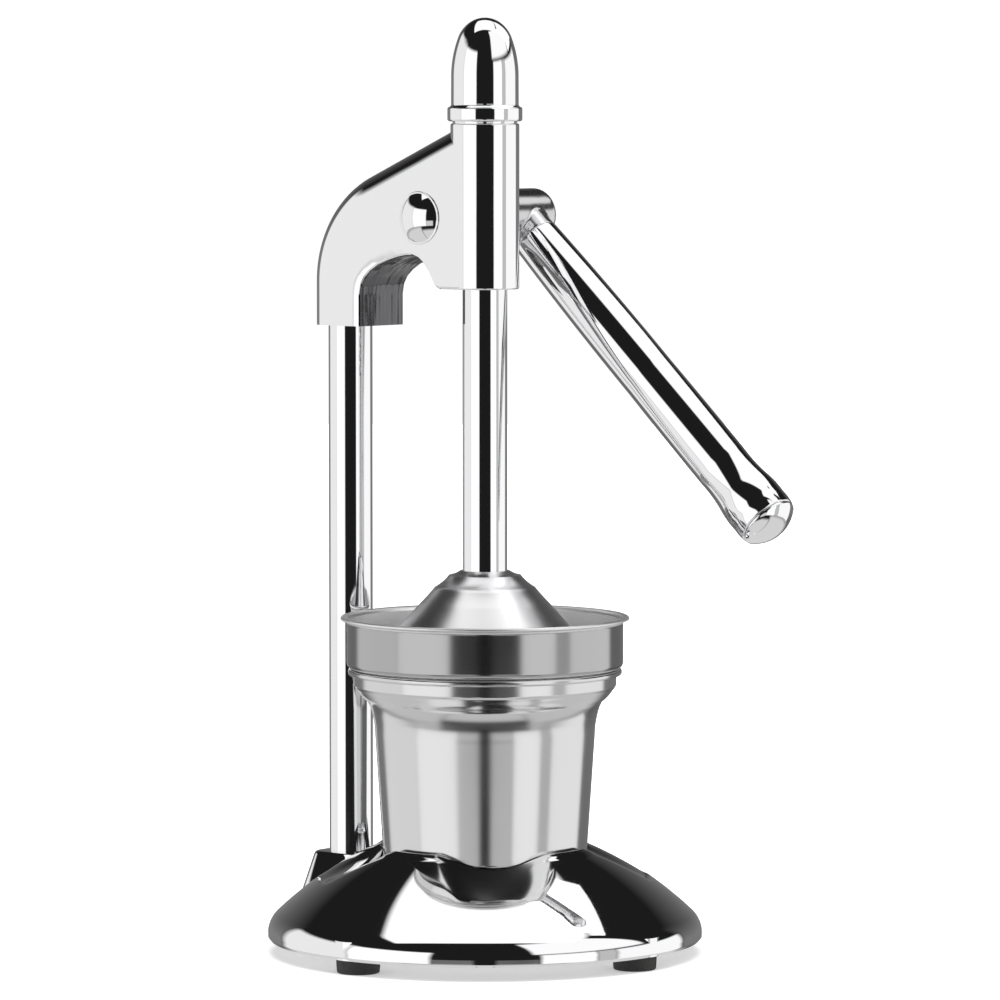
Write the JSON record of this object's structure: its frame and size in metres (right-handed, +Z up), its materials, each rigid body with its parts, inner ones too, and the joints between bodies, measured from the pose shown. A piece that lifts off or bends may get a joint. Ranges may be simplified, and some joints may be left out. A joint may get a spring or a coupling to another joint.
{
  "type": "citrus press juicer",
  "caption": "Hand-lever citrus press: a rack-and-pinion lever lowers a bell onto a reamer and strainer bowl over a cup, on a column and a domed base.",
  "frame": {"origin": "middle of the bounding box at rest, on the plane under the feet; the vertical press axis is 14.77 mm behind it, at x = 0", "axes": "+Z up along the press axis, -Y towards the front where the handle points at rest, +X towards the handle's side"},
  "size_m": [0.1852, 0.2145, 0.3978],
  "materials": {
    "chrome_casting": "mirror chrome plate on a cast body",
    "chrome_tube": "mirror chrome plate on drawn steel tube and bar",
    "brushed_stainless": "satin stainless sheet, polished round its shoulder",
    "satin_stainless": "satin stainless sheet",
    "polished_aluminium": "polished cast aluminium",
    "gear_steel": "milled and oiled steel",
    "zinc_steel": "zinc-plated steel fasteners",
    "black_steel": "blackened steel",
    "bush_brass": "sintered bronze bushes",
    "bush_plastic": "white acetal bush",
    "foot_rubber": "matte black rubber"
  },
  "bodies": {
    "frame": {"base_casting": "chrome_casting", "column_tube": "chrome_tube", "column_plug": "zinc_steel", "column_washer": "zinc_steel", "column_bolt": "zinc_steel", "head_casting": "chrome_casting", "head_grub_screws": "black_steel", "barrel_cap": "chrome_casting", "plunger_bush": "bush_plastic", "shaft_bush_left": "bush_brass", "shaft_bush_right": "bush_brass", "thrust_washer": "zinc_steel", "axle_dome_cap": "chrome_tube", "foot_front": "foot_rubber", "foot_left": "foot_rubber", "foot_right": "foot_rubber", "foot_back": "foot_rubber"},
    "handle": {"pinion_shaft": "chrome_tube", "pinion_key": "zinc_steel", "drive_pinion": "gear_steel", "retaining_ring": "black_steel", "handle_hub": "chrome_casting", "hub_set_screw": "black_steel", "handle_tube": "chrome_tube", "handle_end_cap": "chrome_tube"},
    "plunger": {"rack_plunger": "chrome_tube", "press_bell": "polished_aluminium", "bell_washer": "zinc_steel", "bell_screw": "zinc_steel"},
    "cup": {"juice_cup": "brushed_stainless"},
    "bowl": {"strainer_bowl": "satin_stainless", "strainer_disc": "satin_stainless", "reamer_cone": "polished_aluminium"}
  },
  "joints": [
    {"name": "handle_turn", "type": "hinge", "parent": "frame", "child": "handle", "pos_m": [0, 0.03927, 0.313], "axis": [-1, 0, 0], "range_deg": [0, 202]},
    {"name": "press_slide", "type": "slide", "parent": "frame", "child": "plunger", "axis": [0, 0, 1], "range_m": [0, 0.06]},
    {"name": "cup_turn", "type": "hinge", "parent": "frame", "child": "cup", "pos_m": [0, 0.01477, 0.0363], "axis": [0, 0, 1], "range_deg": [-180, 180]},
    {"name": "bowl_turn", "type": "hinge", "parent": "cup", "child": "bowl", "pos_m": [0, 0.01477, 0.1218], "axis": [0, 0, 1], "range_deg": [-180, 180]}
  ],
  "couplings": [
    {"joint": "press_slide", "follows": "handle_turn", "m_per_rad": 0.017}
  ]
}
